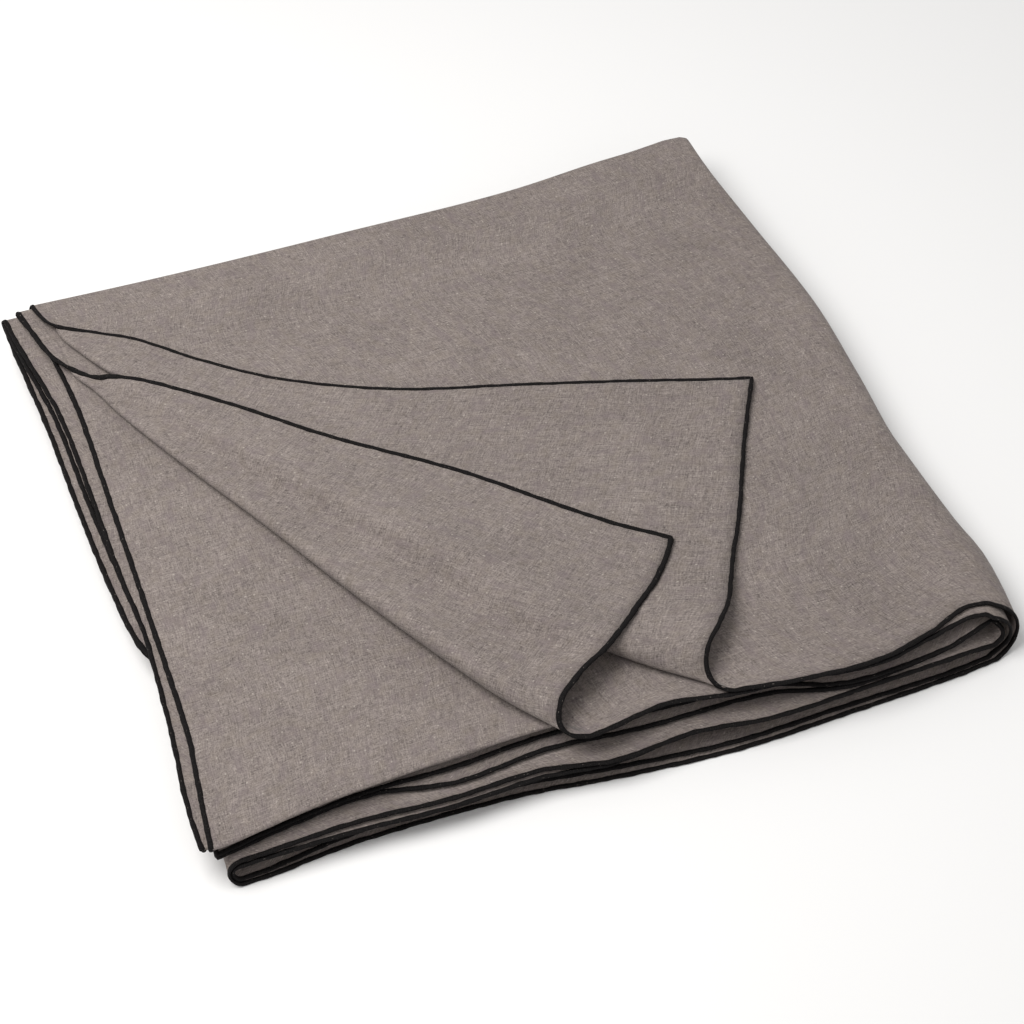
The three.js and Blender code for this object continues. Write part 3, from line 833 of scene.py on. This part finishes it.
# %% Helpers for materials
class Nodes:
    """Adds nodes to a material. An input is a value, or the output of another node."""

    def __init__(self, name):
        self.material = bpy.data.materials.new(name)
        self.material.use_nodes = True
        self.tree = self.material.node_tree
        self.shader = next(node for node in self.tree.nodes if node.type == "BSDF_PRINCIPLED")

    def fill(self, node, inputs):
        for key, value in inputs.items():
            socket = node.inputs[key]
            if isinstance(value, bpy.types.NodeSocket):
                self.tree.links.new(value, socket)
            else:
                socket.default_value = value

    def add(self, kind, inputs, output=0, **settings):
        node = self.tree.nodes.new("ShaderNode" + kind)
        for key, value in settings.items():
            setattr(node, key, value)
        self.fill(node, inputs)
        return node.outputs[output]

    def math(self, operation, *values):
        return self.add("Math", dict(enumerate(values)), operation=operation)

    def noise(self, place, scale, **inputs):
        """Noise from 0 to 1 whose grains are this many millimetres wide and long."""
        stretch = tuple(1 / (size * MM) for size in scale) + (1.0,)
        moved = self.add("Mapping", {"Vector": place, "Scale": stretch})
        return self.add("TexNoise", {"Vector": moved, "Scale": 1.0, **inputs}, noise_dimensions="2D")

    def noises(self, place, grains, total=0.0):
        """Several noises added up, each with its grain, its detail and its weight."""
        for scale, detail, weight in grains:
            noise = self.noise(place, scale, Detail=detail)
            total = self.math("MULTIPLY_ADD", noise, weight, total)
        return total

    def fade(self, value, low, high):
        """0 up to low and 1 from high on."""
        return self.add("MapRange", {"Value": value, "From Min": low, "From Max": high})

    def mixed(self, share, a, b):
        return self.add("Mix", {"Factor": share, "A": a, "B": b}, output="Result", data_type="RGBA")


# %% Linen
THREAD = 0.72                  # from one thread of the weave to the next
STREAK, LONG_STREAK = 2.6, 14.0
SWAY, SWAY_SCALE = 0.004, 30.0  # how far the threads stray in the cloth, in metres, and how often
WEAVE = [                      # width and length of the grain in millimetres, detail and weight
    ((THREAD, STREAK), 2.0, 1.0),
    ((STREAK, THREAD), 2.0, 1.0),
]
YARN = [                       # fibres, long streaks, heather and broad patches
    ((0.8, 0.8), 3.0, 1.5),
    ((THREAD, LONG_STREAK), 2.0, 0.9),
    ((LONG_STREAK, THREAD), 2.0, 0.9),
    ((4.0, 4.0), 2.0, 0.6),
    ((38.0, 38.0), 1.0, 0.35),
]
DARK_AT, LIGHT_AT = 2.13, 4.05  # sums of the noises where the yarn is darkest and lightest
WARM_SHARE, MAUVE_SHARE = 0.3, 0.55
SLUB = (0.7, 9.0)
SLUB_FROM, SLUB_TO = 0.72, 0.84
NUB_SCALE = (70.0, 70.0, 1.0)
NUB_INSIDE, NUB_OUTSIDE = 0.015, 0.045
LIGHT_SHARE = 0.6              # how light slubs and nubs are, as a share of SLUB_LIGHT
LINEN_DARK = (0.060, 0.049, 0.047, 1)
LINEN_LIGHT = (0.345, 0.297, 0.274, 1)
LINEN_WARM = (0.21, 0.176, 0.145, 1)
LINEN_MAUVE = (0.175, 0.143, 0.147, 1)
SLUB_LIGHT = (0.46, 0.415, 0.37, 1)


def linen_material():
    nodes = Nodes("linen")
    uv = nodes.add("UVMap", {}, uv_map="flat")
    sway = nodes.add(
        "TexNoise", {"Vector": uv, "Scale": SWAY_SCALE, "Detail": 1.0},
        output="Color", noise_dimensions="2D")
    place = nodes.add("VectorMath", {0: sway, 1: (SWAY, SWAY, 0.0), 2: uv}, operation="MULTIPLY_ADD")

    threads = nodes.noises(place, WEAVE)
    tone = nodes.fade(nodes.noises(place, YARN, threads), DARK_AT, LIGHT_AT)
    colour = nodes.mixed(tone, LINEN_DARK, LINEN_LIGHT)
    warm = nodes.fade(nodes.noise(place, (9.0, 7.0), Detail=2.0), 0.45, 0.75)
    colour = nodes.mixed(nodes.math("MULTIPLY", warm, WARM_SHARE), colour, LINEN_WARM)
    cool = nodes.fade(nodes.noise(place, (7.0, 12.0), Detail=3.0), 0.5, 0.8)
    colour = nodes.mixed(nodes.math("MULTIPLY", cool, MAUVE_SHARE), colour, LINEN_MAUVE)

    slubs = nodes.math(
        "MAXIMUM",
        nodes.fade(nodes.noise(place, SLUB), SLUB_FROM, SLUB_TO),
        nodes.fade(nodes.noise(place, SLUB[::-1]), SLUB_FROM, SLUB_TO),
    )
    knots = nodes.add("Mapping", {"Vector": place, "Scale": NUB_SCALE})
    knot = nodes.add("TexVoronoi", {"Vector": knots, "Scale": 1.0}, voronoi_dimensions="2D")
    nubs = nodes.math("SUBTRACT", 1.0, nodes.fade(knot, NUB_INSIDE, NUB_OUTSIDE))
    light = nodes.math("MULTIPLY", nodes.math("MAXIMUM", slubs, nubs), LIGHT_SHARE)
    colour = nodes.mixed(light, colour, SLUB_LIGHT)

    relief = nodes.math("MULTIPLY_ADD", slubs, 0.6, threads)
    bump = nodes.add("Bump", {"Height": relief, "Strength": 0.3, "Distance": 0.0004})
    nodes.fill(nodes.shader, {
        "Base Color": colour, "Roughness": 0.92, "Normal": bump,
        "Sheen Weight": 0.1, "Sheen Roughness": 0.5, "Specular IOR Level": 0.1,
    })
    return nodes.material


# %% Black overlock thread
STITCH = 0.9            # from one stitch of the edge to the next
STITCH_SLANT = 0.35     # how far a stitch runs on along the edge for each millimetre round it
STITCH_FUZZ = 3.0       # how uneven the stitches are
THREAD_BLACK = (0.0035, 0.003, 0.0032, 1)
# grey of the thread's fibres, also used as a painted shine on the crests of the stitches
THREAD_GREY_AND_PAINTED_SHINE = (0.018, 0.015, 0.0145, 1)
FLECK = (0.16, 0.14, 0.125, 1)   # linen fibres that show between the stitches


def edge_material():
    nodes = Nodes("edge_thread")
    uv = nodes.add("UVMap", {}, uv_map="flat")
    parts = nodes.tree.nodes.new("ShaderNodeSeparateXYZ")
    nodes.fill(parts, {"Vector": uv})
    slant = nodes.math("MULTIPLY_ADD", parts.outputs["Y"], STITCH_SLANT, parts.outputs["X"])
    fuzz = nodes.noise(uv, (1.4, 0.5), Detail=2.0)
    uneven = nodes.math("MULTIPLY", fuzz, STITCH_FUZZ)
    phase = nodes.math("MULTIPLY_ADD", slant, 2 * math.pi / (STITCH * MM), uneven)
    stitches = nodes.math("MULTIPLY_ADD", nodes.math("SINE", phase), 0.5, 0.5)
    # Painted highlight: the raised crests of the stitches are painted grey where the fuzz is high, a
    # painted shine together with the grey of the fibres
    painted_shine = nodes.math("MULTIPLY", stitches, nodes.fade(fuzz, 0.35, 0.75))
    colour = nodes.mixed(painted_shine, THREAD_BLACK, THREAD_GREY_AND_PAINTED_SHINE)
    flecks = nodes.fade(nodes.noise(uv, (2.2, 0.7)), 0.74, 0.8)
    colour = nodes.mixed(flecks, colour, FLECK)
    bump = nodes.add("Bump", {"Height": stitches, "Strength": 0.7, "Distance": 0.0003})
    nodes.fill(nodes.shader, {
        "Base Color": colour, "Roughness": 0.7, "Normal": bump,
        "Specular IOR Level": 0.12,
    })
    return nodes.material


linen_sheet.data.materials.append(linen_material())
edge_thread.data.materials.append(edge_material())

# %% [markdown]
# ## Camera, light and floor
#
# The camera stands in front of the cloth and a little to its left, at the photograph's angle. The
# light is a bright, even studio: a large soft lamp above the cloth and to its left, and a pale room
# all round, so that the shade gathers under the turned corners.

# %% Camera
CAMERA_PLACE = (-0.31585, -0.84705, 1.0)    # in metres
CAMERA_ELEVATION = math.radians(48.4)
CAMERA_AZIMUTH = math.radians(-21.2)
FOCAL_LENGTH = 82.62        # on a sensor 36 mm wide

camera_data = bpy.data.cameras.new("camera")
camera_data.sensor_width = 36.0
camera_data.lens = FOCAL_LENGTH
camera = bpy.data.objects.new("camera", camera_data)
camera.location = CAMERA_PLACE
camera.rotation_euler = (math.pi / 2 - CAMERA_ELEVATION, 0.0, CAMERA_AZIMUTH)
bpy.context.scene.collection.objects.link(camera)
bpy.context.scene.camera = camera

# %% Floor
FLOOR_SIDE = 8.0
FLOOR_WHITE = (0.86, 0.86, 0.86, 1)

bpy.ops.mesh.primitive_plane_add(size=FLOOR_SIDE)
floor = bpy.context.active_object
floor.name = "floor"
floor_nodes = Nodes("floor")
floor_nodes.fill(floor_nodes.shader, {"Base Color": FLOOR_WHITE, "Roughness": 0.9})
floor.data.materials.append(floor_nodes.material)

# %% Light
LAMP_PLACE = (-0.6, 0.08, 1.22)    # in metres; the lamp points at the middle of the cloth
LAMP_WIDTH = 1.0
LAMP_POWER = 16.0
LAMP_COLOUR = (1.0, 0.985, 0.965)
ROOM_COLOUR = (1.0, 0.995, 0.99, 1)
ROOM_STRENGTH = 0.58

lamp_data = bpy.data.lights.new("key", "AREA")
lamp_data.shape = "DISK"
lamp_data.size = LAMP_WIDTH
lamp_data.energy = LAMP_POWER
lamp_data.color = LAMP_COLOUR
lamp = bpy.data.objects.new("key", lamp_data)
lamp.location = LAMP_PLACE
lamp.rotation_euler = Vector(LAMP_PLACE).to_track_quat("Z", "Y").to_euler()
bpy.context.scene.collection.objects.link(lamp)

room = bpy.data.worlds.new("room")
bpy.context.scene.world = room
room.use_nodes = True
background = room.node_tree.nodes["Background"]
background.inputs["Color"].default_value = ROOM_COLOUR
background.inputs["Strength"].default_value = ROOM_STRENGTH
bpy.context.scene.view_settings.view_transform = "Standard"

# %% [markdown]
# ## What each piece stands for
#
# The sheet and its edge are one cloth: both take the place of the solid one and stay where it lies.

# %% Pieces and the frame
for piece in (linen_sheet, edge_thread):
    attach(piece, "root")
    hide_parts("cloth")
